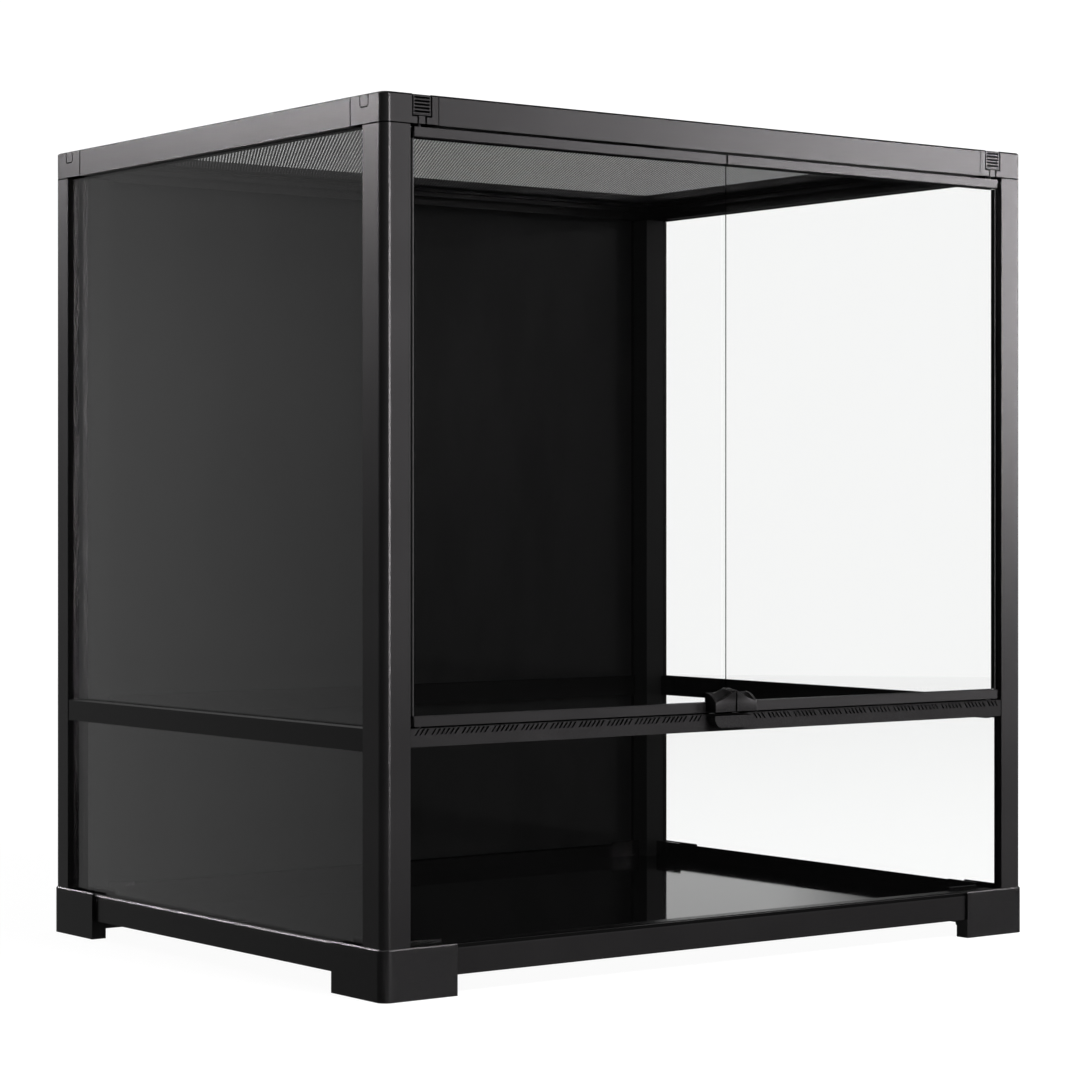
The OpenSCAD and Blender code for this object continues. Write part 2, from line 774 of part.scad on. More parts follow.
module door_pin(side) {
  color(steel) on_side(side) translate([-pivot_x, pivot_y, front_rail_top - lower_pin_drop + 0.5])
    cylinder(h = door_z + door_rail_web - front_rail_top + lower_pin_drop - 0.5, r = pin_dia / 2);
}

// The steel strike let into the underside of a door rail over its magnet.
module strike_space(play) {
  translate([-magnet_offset, pivot_from_front, -1])
    cylinder(h = 2 + play, r = magnet_dia / 2 + play);
}

module door_strike(side) {
  color(steel) on_side(side) translate([-magnet_offset, pivot_y, door_z]) cylinder(h = 1, r = magnet_dia / 2);
}

// Front outline of a handle: flat below, a hollow curve rising to the peak at the door gap.
module handle_outline() {
  rise = handle_peak_h - handle_end_h;
  hollow_w = handle_w - 5;
  union() {
    rect([-handle_w, 0], [0, handle_end_h]);
    difference() {
      rect([-handle_w + 3, handle_end_h - eps], [0, handle_peak_h]);
      intersection() {
        translate([-5 - hollow_w, handle_end_h + hollow_w]) circle(hollow_w);
        rect([-handle_w - 1, handle_end_h], [-5, handle_end_h + hollow_w]);
      }
      rect([-handle_w - 1, handle_end_h + hollow_w], [-5, handle_peak_h + hollow_w]);
    }
  }
}

// A handle: it hooks over the door's bottom rail and stands out in front.
module door_handle(side) {
  clearance = 0.05;
  color(foot_black) on_side(side) translate([-door_gap / 2 + 0.4, -hy, handle_z]) difference() {
    along_y(-handle_proj, door_front + door_rail_d + 1.6) handle_outline();
    box([-handle_w - 1, door_front - clearance, -5], [1, door_front + door_rail_d + 5, door_rail_h - handle_lift + clearance]);
    box([-handle_w - 1, pivot_from_front - door_glass_t / 2 - clearance, -5],
        [1, pivot_from_front + door_glass_t / 2 + 10, handle_peak_h + 5]);
  }
}

// A hinge key: gripped head with side flanges, and a stem that carries the pin.
module hinge_key(side) {
  lip = key_t / 2 + key_play;
  front_face = 0.2;
  color(rail_black) at_corner(side, front) translate([pivot_from_side, 0, 0]) difference() {
    union() {
      box([-key_w / 2, front_face, key_head_z], [key_w / 2, key_t, cabinet_h - 0.3]);
      box([-key_w / 2 - key_flange, lip, key_head_z], [key_w / 2 + key_flange, key_t, cabinet_h - 0.3]);
      box([-key_stem_w / 2, front_face, top_z + 0.2], [key_stem_w / 2, key_stem_back, key_head_z + 6]);
    }
    for (i = [0:key_grooves - 1])
      translate([0, front_face, cabinet_h - 2.4 - i * key_groove_pitch])
        cube([key_w - 2.2, 2 * key_groove_t, key_groove_h], center = true);
    along_x(-key_w, key_w) chamfer_profile(front_face, cabinet_h - 0.1, top_chamfer);
    translate([0, pivot_from_front, top_z - 1]) cylinder(h = key_head_z + 6 - top_z - 1, r = pin_dia / 2);
  }
}

module hinge_key_pin(side) {
  color(steel) on_side(side) translate([-pivot_x, pivot_y, door_top - key_pin_reach])
    cylinder(h = key_head_z + 4 - door_top + key_pin_reach, r = pin_dia / 2);
}

// Folded section of a screen bar: outer wall, top and inner lip, with a slot that holds the sheet.
module screen_bar_section() {
  low = deck_z + seam;
  high = low + screen_bar_h;
  rect([0, low], [screen_wall, high]);
  rect([0, high - screen_wall], [screen_bar_w, high]);
  rect([screen_bar_w - screen_wall, low + screen_sheet_rise + screen_sheet_t], [screen_bar_w, high]);
  rect([0, low], [screen_bar_w / 2, low + screen_sheet_rise]);
}

screen_hx = hx - top_d - screen_play;
screen_hy = hy - top_d - screen_play;

// Keeps a bar between the two mitres of its corners.
module mitred(length_x, length_y) {
  intersection() {
    children();
    translate([0, 0, deck_z - 1]) linear_extrude(screen_bar_h + 3)
      polygon([[-length_x, -length_y], [length_x, -length_y],
               [length_x - screen_bar_w - 1, -length_y + screen_bar_w + 1],
               [-length_x + screen_bar_w + 1, -length_y + screen_bar_w + 1]]);
  }
}

module screen_bar_end(end) {
  color(rail_black) mirror([0, end > 0 ? 1 : 0, 0])
    mitred(screen_hx, screen_hy) translate([0, -screen_hy, 0])
      along_x(-screen_hx, screen_hx) screen_bar_section();
}

module screen_bar_side(side) {
  color(rail_black) rotate([0, 0, side > 0 ? 90 : -90])
    mitred(screen_hy, screen_hx) translate([0, -screen_hx, 0])
      along_x(-screen_hy, screen_hy) screen_bar_section();
}

hole_row = hole_pitch * sqrt(3) / 2;
sheet_hx = screen_hx - screen_wall - 0.2;
sheet_hy = screen_hy - screen_wall - 0.2;
holes_x = floor((sheet_hx - screen_bar_w) / hole_pitch);
holes_y = floor((sheet_hy - screen_bar_w) / hole_row);

// Perforated sheet with staggered rows of round holes.
module screen_sheet() {
  color(panel_black) translate([0, 0, deck_z + seam + screen_sheet_rise]) linear_extrude(screen_sheet_t) difference() {
    rect([-sheet_hx, -sheet_hy], [sheet_hx, sheet_hy]);
    for (j = [-holes_y:holes_y]) {
      shift = j % 2 == 0 ? 0 : hole_pitch / 2;
      for (i = [-holes_x:holes_x - (shift > 0 ? 1 : 0)])
        translate([i * hole_pitch + shift, j * hole_row]) circle(d = hole_dia);
    }
  }
}

centred() foot(left, front);  // foot_front_left
centred() foot(right, front);  // foot_front_right
centred() foot(left, rear);  // foot_rear_left
centred() foot(right, rear);  // foot_rear_right
centred() foot_screws();
centred() base_rail_end(front);  // base_rail_front
centred() base_rail_end(rear);  // base_rail_rear
centred() base_rail_side(left);  // base_rail_left
centred() base_rail_side(right);  // base_rail_right
centred() floor_panel();
centred() post(left, front);  // post_front_left
centred() post(right, front);  // post_front_right
centred() post(left, rear);  // post_rear_left
centred() post(right, rear);  // post_rear_right
centred() mid_rail_front();
centred() mid_rail_rear();
centred() mid_rail_side(left);  // mid_rail_left
centred() mid_rail_side(right);  // mid_rail_right
centred() top_rail_end(front);  // top_rail_front
centred() top_rail_end(rear);  // top_rail_rear
centred() top_rail_side(left);  // top_rail_left
centred() top_rail_side(right);  // top_rail_right
centred() block(left, front);  // block_front_left
centred() block(right, front);  // block_front_right
centred() block(left, rear);  // block_rear_left
centred() block(right, rear);  // block_rear_right
centred() glass_side_upper(left);  // glass_left_upper
centred() glass_side_lower(left);  // glass_left_lower
centred() glass_side_upper(right);  // glass_right_upper
centred() glass_side_lower(right);  // glass_right_lower
centred() glass_front_lower();
centred() back_panel(mid_top - glass_grip, top_z + glass_grip);  // back_panel_upper
centred() back_panel(base_top - glass_grip, mid_z + glass_grip);  // back_panel_lower
centred() latch_plate();
centred() catch_magnets();
centred() door_glass(left);  // door_glass_left
centred() door_glass(right);  // door_glass_right
centred() door_top_rail(left);  // door_top_rail_left
centred() door_top_rail(right);  // door_top_rail_right
centred() door_bottom_rail(left);  // door_bottom_rail_left
centred() door_bottom_rail(right);  // door_bottom_rail_right
centred() door_handle(left);  // door_handle_left
centred() door_handle(right);  // door_handle_right
centred() door_pin(left);  // door_pin_left
centred() door_pin(right);  // door_pin_right
centred() door_strike(left);  // door_strike_left
centred() door_strike(right);  // door_strike_right
centred() door_edge_strip(left);  // door_edge_strip_left
centred() door_edge_strip(right);  // door_edge_strip_right
centred() hinge_key(left);  // hinge_key_left
centred() hinge_key(right);  // hinge_key_right
centred() hinge_key_pin(left);  // hinge_key_pin_left
centred() hinge_key_pin(right);  // hinge_key_pin_right
centred() screen_sheet();
centred() screen_bar_end(front);  // screen_bar_front
centred() screen_bar_end(rear);  // screen_bar_rear
centred() screen_bar_side(left);  // screen_bar_left
centred() screen_bar_side(right);  // screen_bar_right
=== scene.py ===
"""Looks of a front-opening reptile terrarium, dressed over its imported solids.

Metres, Z up, doors towards -Y. Azimuths are counted from +X towards +Y, in degrees.
"""

import math

import bmesh
import bpy
import numpy as np
from mathutils import Matrix, Vector


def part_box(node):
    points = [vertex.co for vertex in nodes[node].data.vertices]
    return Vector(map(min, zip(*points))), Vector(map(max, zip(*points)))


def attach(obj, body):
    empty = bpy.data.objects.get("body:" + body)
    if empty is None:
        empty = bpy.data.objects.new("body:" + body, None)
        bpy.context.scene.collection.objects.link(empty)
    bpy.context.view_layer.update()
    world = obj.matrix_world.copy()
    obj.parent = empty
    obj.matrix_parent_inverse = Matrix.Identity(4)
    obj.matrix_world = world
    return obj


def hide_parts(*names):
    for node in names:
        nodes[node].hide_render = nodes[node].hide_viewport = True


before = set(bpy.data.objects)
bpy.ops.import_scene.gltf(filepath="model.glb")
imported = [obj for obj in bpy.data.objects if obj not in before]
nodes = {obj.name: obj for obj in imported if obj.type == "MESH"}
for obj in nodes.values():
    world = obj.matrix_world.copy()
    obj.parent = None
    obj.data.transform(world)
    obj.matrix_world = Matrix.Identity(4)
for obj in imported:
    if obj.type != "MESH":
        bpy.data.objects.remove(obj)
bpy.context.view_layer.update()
scene = bpy.context.scene
ENDS, SIDES = ("front", "rear"), ("left", "right")


# ---------------------------------------------------------------- node helpers
class Graph:
    """A node tree with short calls: each returns an output socket, and any input may be a number, colour
    or socket."""

    def __init__(self, tree):
        self.tree = tree
        tree.nodes.clear()

    def node(self, kind, inputs=None, **settings):
        n = self.tree.nodes.new(kind)
        for k, v in settings.items():
            setattr(n, k, v)
        for k, v in (inputs or {}).items():
            self.put(n.inputs[k], v)
        return n

    def put(self, socket, value):
        if isinstance(value, bpy.types.NodeSocket):
            self.tree.links.new(value, socket)
        elif isinstance(value, tuple) and len(value) == 3 and len(getattr(socket, "default_value", value)) == 4:
            socket.default_value = (*value, 1)
        else:
            socket.default_value = value

    def math(self, op, a, b=None, clamp=False):
        n = self.node("ShaderNodeMath", operation=op, use_clamp=clamp)
        self.put(n.inputs[0], a)
        if b is not None:
            self.put(n.inputs[1], b)
        return n.outputs[0]

    def ramp(self, value, low, high, to_low=0.0, to_high=1.0, smooth=True):
        n = self.node(
            "ShaderNodeMapRange",
            {"Value": value, "From Min": low, "From Max": high, "To Min": to_low, "To Max": to_high},
            interpolation_type="SMOOTHSTEP" if smooth else "LINEAR",
        )
        return n.outputs[0]

    def window(self, value, a, b, c, d):
        return self.math("MULTIPLY", self.ramp(value, a, b), self.ramp(value, c, d, 1.0, 0.0))

    def near(self, value, centre, half, soft=0.06):
        """1 within half a line's width of its centre, 0 away from it."""
        away = self.math("ABSOLUTE", self.math("SUBTRACT", value, centre))
        return self.ramp(away, half - soft, half + soft, 1.0, 0.0)

    def both(self, *masks):
        total = masks[0]
        for mask in masks[1:]:
            total = self.math("MULTIPLY", total, mask)
        return total

    def any(self, *masks):
        total = masks[0]
        for mask in masks[1:]:
            total = self.math("MAXIMUM", total, mask)
        return total

    def mix(self, factor, a, b):
        n = self.node("ShaderNodeMix", data_type="RGBA")
        self.put(n.inputs["Factor"], factor)
        self.put(n.inputs[6], a)
        self.put(n.inputs[7], b)
        return n.outputs[2]

    def noise(self, vector, scale, detail=3.0, rough=0.5):
        inputs = {"Vector": vector, "Scale": scale, "Detail": detail, "Roughness": rough}
        return self.node("ShaderNodeTexNoise", inputs).outputs["Fac"]

    def stretch(self, vector, scale):
        return self.node("ShaderNodeMapping", {"Vector": vector, "Scale": scale}).outputs[0]

    def place(self):
        return self.node("ShaderNodeTexCoord").outputs["Object"]

    def split(self, vector):
        return self.node("ShaderNodeSeparateXYZ", {"Vector": vector}).outputs

    def normal(self):
        return self.split(self.node("ShaderNodeNewGeometry").outputs["Normal"])

    def bump(self, height, strength, distance):
        inputs = {"Height": height, "Strength": strength, "Distance": distance}
        return self.node("ShaderNodeBump", inputs).outputs[0]


def material(name):
    m = bpy.data.materials.new(name)
    m.use_nodes = True
    g = Graph(m.node_tree)
    out = g.node("ShaderNodeOutputMaterial")
    return m, g, out


# Places of the painted shade and painted light, in millimetres.
FRONT, REAR, SIDE = -225.85, 234.15, 301.5  # outer faces
MIDDLE, TOP = (FRONT + REAR) / 2, 610
BLOCK_X, BLOCK_Y, BLOCK_LOW = 45.15, 40.15, 590.0  # a corner block's legs and underside
KEY_X = 31.6  # a key's middle, in from the side
KEY_SHOULDER = 595.5  # where a key's head meets its stem
GROOVE_TOP, GROOVE_STEP = 2.4, 2.35  # the first grip groove, down from the top, and their pitch
TAB_Y, TAB_Z, TAB_FLAT, TAB_ROUND = 206.7, 603.6, 2.75, 2.3  # a snap tab's round end
# The posts' inner faces placed here take a lighter colour, as painted light.
POST_INNER, POST_AHEAD = 12.0, 217.0  # the posts' inner faces, in from the side and out from the middle


def coated(name, tone, rough, grain=0.012, tint=(1.0, 0.955, 0.985), ior=1.5, shade_marks=None, inner_light=None):
    """Black satin plastic or coating: a fine even texture, a faint mottle, and slightly uneven gloss. The shade
    mask, given by place in millimetres or by facing, is painted shade: in the seams and grooves and on faces
    that lie in shadow the surface turns to a matte shadowed black. A lighter colour given for the posts is
    painted light on their inner faces."""
    m, g, out = material(name)
    place = g.place()
    cloud = g.noise(place, 14.0, 4.0, 0.55)
    fine = g.noise(place, 1900.0, 2.0, 0.6)
    both = g.math("ADD", g.math("MULTIPLY", cloud, 0.5), g.math("MULTIPLY", fine, 0.5))
    dark = tuple(tone * 0.9 * c for c in tint)
    light = tuple(tone * 1.1 * c for c in tint)
    colour = g.mix(g.ramp(both, 0.35, 0.65), dark, light)
    spot = g.split(g.stretch(place, (1000, 1000, 1000)))
    # Painted light: the posts' inner faces take a lighter colour.
    if inner_light is not None:
        across = g.ramp(g.math("ABSOLUTE", spot[0]), SIDE - POST_INNER - 1, SIDE - POST_INNER, 1.0, 0.0)
        along = g.math("ABSOLUTE", g.math("SUBTRACT", spot[1], MIDDLE))
        lit_inner_faces = g.both(across, g.ramp(along, POST_AHEAD, POST_AHEAD + 1, 1.0, 0.0))
        colour = g.mix(lit_inner_faces, colour, (inner_light, inner_light, inner_light))
    gloss = g.ramp(both, 0.35, 0.65, rough - 0.008, rough + 0.008)
    shader = g.node(
        "ShaderNodeBsdfPrincipled",
        {"Base Color": colour, "Roughness": gloss, "IOR": ior, "Normal": g.bump(fine, grain, 0.0001)},
    )
    if shade_marks is None:
        g.put(out.inputs["Surface"], shader.outputs[0])
        return m
    # The shade mask mixes in a matte near-black: painted shade in seams, grooves and shaded faces.
    shade_black = g.node("ShaderNodeBsdfDiffuse", {"Color": (0.003, 0.003, 0.003)})
    shaded = g.node("ShaderNodeMixShader", {"Fac": shade_marks(g, *spot)})
    g.put(shaded.inputs[1], shader.outputs[0])
    g.put(shaded.inputs[2], shade_black.outputs[0])
    g.put(out.inputs["Surface"], shaded.outputs[0])
    return m


def frame_seam_shade(g, x, y, z):
    """Painted shade in the seams between the corner blocks and the rails, and on the shadowed arris above the
    doors.
    """
    ends = g.near(g.math("ABSOLUTE", x), SIDE - BLOCK_X, 0.42)
    sides = g.any(g.near(y, FRONT + BLOCK_Y, 0.55), g.near(y, REAR - BLOCK_Y, 0.55))
    outside = g.math("GREATER_THAN", g.math("ABSOLUTE", x), SIDE - 2)
    rim = g.both(g.ramp(z, TOP - 1.3, TOP - 1.1), g.ramp(y, FRONT + 1.4, FRONT + 1.1))
    return g.any(g.math("MULTIPLY", ends, 0.6), g.both(sides, outside), rim)


def block_seam_shade(g, x, y, z):
    """Painted shade in the frame's seams, round the key's pocket and the snap tab, and in the joint over the
    post.
    """
    ahead = g.math("LESS_THAN", y, FRONT + 2)
    from_key = g.math("ABSOLUTE", g.math("SUBTRACT", g.math("ABSOLUTE", x), SIDE - KEY_X))
    head = g.both(g.ramp(from_key, 8.3, 8.45, 1.0, 0.0), g.ramp(z, KEY_SHOULDER - 1.1, KEY_SHOULDER - 0.95))
    stem = g.ramp(from_key, 3.9, 4.05, 1.0, 0.0)
    from_middle = g.math("ABSOLUTE", g.math("SUBTRACT", y, MIDDLE))
    from_tab = g.math("ABSOLUTE", g.math("SUBTRACT", from_middle, TAB_Y))
    across = g.math("MAXIMUM", g.math("SUBTRACT", from_tab, TAB_FLAT), 0.0)
    below = g.math("MAXIMUM", g.math("SUBTRACT", TAB_Z, z), 0.0)
    squares = g.math("ADD", g.math("MULTIPLY", across, across), g.math("MULTIPLY", below, below))
    round_tab = g.math("SQRT", squares)
    outside = g.math("GREATER_THAN", g.math("ABSOLUTE", x), SIDE - 2)
    tab = g.both(g.near(round_tab, TAB_ROUND, 0.55), outside, 0.9)
    joint = g.ramp(z, BLOCK_LOW, BLOCK_LOW + 0.1, 1.0, 0.0)
    return g.any(frame_seam_shade(g, x, y, z), g.both(ahead, g.any(head, stem)), tab, joint)


def post_seam_shade(g, x, y, z):
    """A painted shadow line round a post's top."""
    return g.ramp(z, BLOCK_LOW - 1, BLOCK_LOW - 0.85)


def upward_shade(g, x, y, z):
    """Painted shade on faces that look up and lie in shadow."""
    return g.ramp(g.normal()[2], 0.2, 0.35)


def round_edge_shade(g, x, y, z):
    """Painted shade on a rounded upper edge that lies in shadow."""
    up = g.normal()[2]
    return g.both(g.ramp(up, 0.2, 0.35), g.ramp(up, 0.94, 0.985, 1.0, 0.0))


def face_shade(g, x, y, z):
    """Painted shade: the handle's front darkens towards its rim."""
    return g.ramp(z, 190.8, 195.5, 0.0, 0.85)


def key_groove_shade(g, x, y, z):
    """Painted shade in a key's grip grooves and along its shadowed edge."""
    ahead = g.math("LESS_THAN", y, FRONT + 2)
    from_key = g.math("ABSOLUTE", g.math("SUBTRACT", g.math("ABSOLUTE", x), SIDE - KEY_X))
    half = GROOVE_STEP / 2
    step = g.math("SUBTRACT", TOP - GROOVE_TOP + half, z)
    in_step = g.math("ABSOLUTE", g.math("SUBTRACT", g.math("FLOORED_MODULO", step, GROOVE_STEP), half))
    bars = g.both(
        g.ramp(in_step, 0.7, 0.8, 1.0, 0.0),
        g.ramp(from_key, 6.2, 6.3, 1.0, 0.0),
        g.ramp(z, KEY_SHOULDER + 0.7, KEY_SHOULDER + 0.9),
    )
    edge = g.any(g.ramp(from_key, 7.0, 7.1), g.near(z, KEY_SHOULDER, 0.3))
    stem_edge = g.both(
        g.ramp(from_key, 2.5, 2.6),
        g.ramp(z, KEY_SHOULDER - 0.1, KEY_SHOULDER + 0.1, 1.0, 0.0),
    )
    return g.both(ahead, g.any(bars, edge, stem_edge))


def panel(name, dark, light, rough):
    """A smooth glossy panel with faint smears."""
    m, g, out = material(name)
    place = g.place()
    smear = g.noise(g.stretch(place, (3.0, 3.0, 1.0)), 5.0, 5.0, 0.6)
    haze = g.noise(place, 60.0, 3.0)
    colour = g.mix(g.ramp(smear, 0.35, 0.65), dark, light)
    both = g.math("ADD", g.math("MULTIPLY", smear, 0.7), g.math("MULTIPLY", haze, 0.3))
    gloss = g.ramp(both, 0.35, 0.65, rough, rough + 0.02)
    shader = g.node("ShaderNodeBsdfPrincipled", {"Base Color": colour, "Roughness": gloss, "IOR": 1.5})
    g.put(out.inputs["Surface"], shader.outputs[0])
    return m


def pane(name, axis, base, rise, power):
    """Clear glass seen through its faces, with a painted dark line at its left arris: painted shade for the
    glass edge's internal reflection. Axis is that of the pane's own normal; its sheen grows from the base, which
    it has when seen square on."""
    m, g, out = material(name)
    facing = g.node("ShaderNodeLayerWeight", {"Blend": 0.5}).outputs["Facing"]
    sheen = g.math("ADD", g.math("MULTIPLY", g.math("POWER", facing, power), rise), base)
    normal = g.normal()
    coords = g.node("ShaderNodeTexCoord")
    depth = g.split(coords.outputs["Generated"])[axis]
    flat = g.math("GREATER_THAN", g.math("ABSOLUTE", normal[axis]), 0.5)
    wash = g.noise(coords.outputs["Object"], 7.0, 3.0)
    clear = g.mix(wash, (0.975, 0.976, 0.975), (0.97, 0.972, 0.971))
    arris = g.ramp(depth, 0.24, 0.34, 1.0, 0.0)
    # Painted shade: a dark line near the front arris of each edge that faces left.
    left_arris_shade = g.both(
        arris,
        g.math("LESS_THAN", normal[0], -0.5),
        g.math("SUBTRACT", 1.0, g.node("ShaderNodeNewGeometry").outputs["Backfacing"]),
    )
    edge = g.mix(left_arris_shade, (0.99, 0.995, 0.992), (0.06, 0.072, 0.068))
    shadow = g.node("ShaderNodeLightPath").outputs["Is Shadow Ray"]
    tint = g.mix(shadow, g.mix(flat, edge, clear), (0.22, 0.22, 0.22))
    through = g.node("ShaderNodeBsdfTransparent", {"Color": tint})
    shine = g.node("ShaderNodeBsdfGlossy", {"Color": (1.0, 1.0, 1.0), "Roughness": 0.01})
    mixed = g.node("ShaderNodeMixShader", {"Fac": g.math("MULTIPLY", sheen, flat)})
    g.put(mixed.inputs[1], through.outputs[0])
    g.put(mixed.inputs[2], shine.outputs[0])
    g.put(out.inputs["Surface"], mixed.outputs[0])
    return m


def metal(name, dark, light, rough):
    m, g, out = material(name)
    fine = g.noise(g.stretch(g.place(), (1, 1, 8)), 900.0, 3.0)
    colour = g.mix(g.ramp(fine, 0.3, 0.7), dark, light)
    gloss = g.ramp(fine, 0.3, 0.7, rough - 0.05, rough + 0.08)
    shader = g.node("ShaderNodeBsdfPrincipled", {"Base Color": colour, "Metallic": 1.0, "Roughness": gloss})
    g.put(out.inputs["Surface"], shader.outputs[0])
    return m


# ---------------------------------------------------------------- finishes
frame_black = coated("frame_black", 0.0115, 0.22, shade_marks=frame_seam_shade)
block_black = coated("block_black", 0.0115, 0.22, shade_marks=block_seam_shade)
# The posts' inner faces are painted lighter: painted light.
post_black = coated("post_black", 0.0115, 0.22, shade_marks=post_seam_shade, inner_light=0.032)
vent_black = coated("vent_black", 0.0115, 0.27, ior=1.28, shade_marks=upward_shade)
# A darker copy of the rail black for the right and rear mid rails: painted shade.
far_rail_shaded_black = coated("far_rail_shaded_black", 0.0085, 0.23, shade_marks=upward_shade)
# A lighter copy of the base rails' black for the front base rail: painted light from the front.
base_front_lit_black = coated("base_front_lit_black", 0.0125, 0.26, ior=1.33, shade_marks=round_edge_shade)
rail_black = coated("rail_black", 0.0115, 0.225)
base_black = coated("base_black", 0.0085, 0.23)
moulded = coated("moulded_black", 0.0085, 0.24, 0.03)
handle_black = coated("handle_black", 0.005, 0.05, 0.004)
# A lighter copy for the handle's front faces, as painted light from the front, darkening above as painted shade;
# the dish takes a darker, rougher copy as painted shade in the hollow.
handle_face_lit = coated("handle_face_lit", 0.0115, 0.27, ior=1.28, shade_marks=face_shade)
dish_shaded_black = coated("dish_shaded_black", 0.004, 0.45, ior=1.2)
strip_black = coated("strip_black", 0.004, 0.4, 0.03, (1.0, 1.0, 1.0))
key_black = coated("key_black", 0.0105, 0.22, 0.02, shade_marks=key_groove_shade)
screen_black = coated("screen_black", 0.008, 0.4, 0.02, (1.0, 1.0, 1.0))
panel_black = panel("panel_black", (0.024, 0.0238, 0.024), (0.029, 0.0286, 0.029), 0.06)
floor_black = panel("floor_black", (0.004, 0.004, 0.0042), (0.006, 0.006, 0.0063), 0.04)
glass_x = pane("glass_facing_x", 0, 0.01, 0.96, 5.0)
glass_left = pane("glass_facing_left", 0, 0.043, 0.957, 2.95)
glass_y = pane("glass_facing_y", 1, 0.012, 0.96, 5.0)
steel = metal("steel", (0.16, 0.16, 0.165), (0.25, 0.25, 0.255), 0.3)
dark_steel = metal("dark_steel", (0.02, 0.02, 0.021), (0.035, 0.035, 0.036), 0.5)


def dress(finish, *names):
    for name in names:
        slots = nodes[name].data.materials
        slots.clear()
        slots.append(finish)


for e in ENDS:
    dress(base_black, f"base_rail_{e}")
    dress(frame_black, f"top_rail_{e}")
    dress(rail_black, f"mid_rail_{e}", f"screen_bar_{e}")
    for s in SIDES:
        dress(moulded, f"foot_{e}_{s}")
        dress(post_black, f"post_{e}_{s}")
        dress(block_black, f"block_{e}_{s}")
for s in SIDES:
    dress(base_black, f"base_rail_{s}")
    dress(frame_black, f"top_rail_{s}")
    dress(rail_black, f"mid_rail_{s}", f"screen_bar_{s}")
    dress(glass_left if s == "left" else glass_x, f"glass_{s}_upper", f"glass_{s}_lower")
    dress(glass_y, f"door_glass_{s}")
    dress(rail_black, f"door_top_rail_{s}", f"door_bottom_rail_{s}")
    dress(handle_black, f"door_handle_{s}")
    dress(steel, f"door_strike_{s}")
    dress(dark_steel, f"door_pin_{s}", f"hinge_key_pin_{s}")
    dress(strip_black, f"door_edge_strip_{s}")
    dress(key_black, f"hinge_key_{s}")
dress(vent_black, "mid_rail_front")
# The right and rear rails take the darker copy, as painted shade.
dress(far_rail_shaded_black, "base_rail_right", "base_rail_rear", "mid_rail_right", "mid_rail_rear")
# The front base rail takes the lighter copy, as painted light.
dress(base_front_lit_black, "base_rail_front")
dress(glass_y, "glass_front_lower")
dress(panel_black, "back_panel_upper", "back_panel_lower")
dress(floor_black, "floor_panel")
dress(steel, "foot_screws", "catch_magnets")
dress(vent_black, "latch_plate")
dress(screen_black, "screen_sheet")


def link(name, mesh):
    o = bpy.data.objects.new(name, mesh)
    scene.collection.objects.link(o)
    return o


# ---------------------------------------------------------------- perforated sheet
def perforated(name, low, high, z, pitch, hole, margin, finish):
    """A thin sheet of staggered holes in rows along X, six-sided at this size, with a plain border."""
    row = pitch * math.sqrt(3) / 2
    cx, cy = (low[0] + high[0]) / 2, (low[1] + high[1]) / 2
    nx = int((high[0] - low[0] - 2 * margin) / pitch / 2)
    ny = int((high[1] - low[1] - 2 * margin) / row / 2)
    centres = []
    for j in range(-ny, ny + 1):
        for i in range(-nx, nx + 1 - (j % 2)):
            centres.append((cx + (i + (0.5 if j % 2 else 0)) * pitch, cy + j * row))
    centres = np.array(centres)
    around = (np.arange(6) + 0.5) * math.pi / 3
    unit = np.stack([np.cos(around), np.sin(around)], 1)
    ring_out = (centres[:, None] + unit[None] * pitch / math.sqrt(3)).reshape(-1, 2)
    ring_in = (centres[:, None] + unit[None] * hole / 2 / math.cos(math.pi / 12)).reshape(-1, 2)
    keys = np.round(ring_out / 1e-5).astype(np.int64)
    _, first, place = np.unique(keys, axis=0, return_index=True, return_inverse=True)
    place = place.reshape(-1, 6)
    shared = ring_out[first]
    own = len(shared) + np.arange(len(centres) * 6).reshape(-1, 6)
    quads = np.stack([place, np.roll(place, -1, 1), np.roll(own, -1, 1), own], 2).reshape(-1, 4)
    points = np.concatenate([shared, ring_in])
    x0, y0 = points.min(0) + (0.5 * pitch, 0.3 * pitch)
    x1, y1 = points.max(0) - (0.5 * pitch, 0.3 * pitch)
    n = len(points)
    outer_edge = [(low[0], low[1]), (high[0], low[1]), (high[0], high[1]), (low[0], high[1])]
    border = np.array(outer_edge + [(x0, y0), (x1, y0), (x1, y1), (x0, y1)])
    points = np.concatenate([points, border])
    faces = quads.tolist() + [[n + i, n + (i + 1) % 4, n + 4 + (i + 1) % 4, n + 4 + i] for i in range(4)]
    verts = np.concatenate([points, np.full((len(points), 1), z)], 1)
    mesh = bpy.data.meshes.new(name)
    mesh.from_pydata(verts.tolist(), [], faces)
    mesh.materials.append(finish)
    return link(name, mesh)


lo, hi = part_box("screen_sheet")
sheet = perforated(
    "screen_mesh", lo, hi, (lo.z + hi.z) / 2, pitch=0.0027, hole=0.00119, margin=0.0195, finish=screen_black
)
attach(sheet, "screen_lid")
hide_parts("screen_sheet")


# ---------------------------------------------------------------- handles
def smooth(x, a, b):
    t = min(1.0, max(0.0, (x - a) / (b - a)))
    return t * t * (3 - 2 * t)


